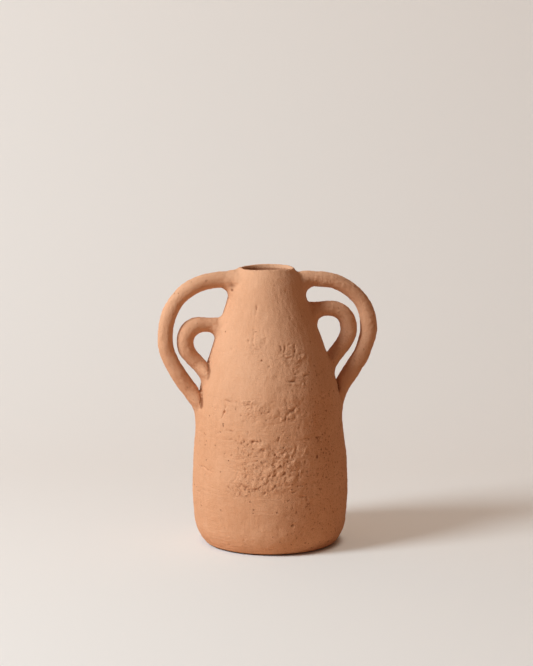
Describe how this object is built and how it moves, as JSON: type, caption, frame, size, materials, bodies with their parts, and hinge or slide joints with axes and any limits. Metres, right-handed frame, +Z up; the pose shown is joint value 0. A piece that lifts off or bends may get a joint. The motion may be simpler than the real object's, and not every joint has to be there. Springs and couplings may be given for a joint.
{
  "type": "amphora vase",
  "caption": "Hand-built unglazed terracotta vase with a bell-shaped body, a small mouth and nested outer and inner loop handles on both sides.",
  "frame": {"origin": "centre of the flat underside, on the body's axis", "axes": "+Z up along the body's axis, +X towards the right-hand handles, -Y towards the viewer"},
  "size_m": [0.1974, 0.14, 0.25],
  "materials": {
    "wall_clay": "unglazed terracotta, matt, with pits and scraped patches",
    "handle_clay": "unglazed terracotta, matt, smoothed by hand",
    "inside_clay": "unglazed terracotta, matt, rough inside"
  },
  "bodies": {
    "root": {"base_slab": "wall_clay", "corner_coil": "inside_clay", "foot_course": "wall_clay", "belly_course": "wall_clay", "waist_course": "wall_clay", "shoulder_course": "wall_clay", "throat_course": "wall_clay", "neck_course": "wall_clay", "rim_coil": "wall_clay", "outer_handle_left": "handle_clay", "outer_handle_right": "handle_clay", "inner_handle_left": "handle_clay", "inner_handle_right": "handle_clay"}
  },
  "joints": []
}
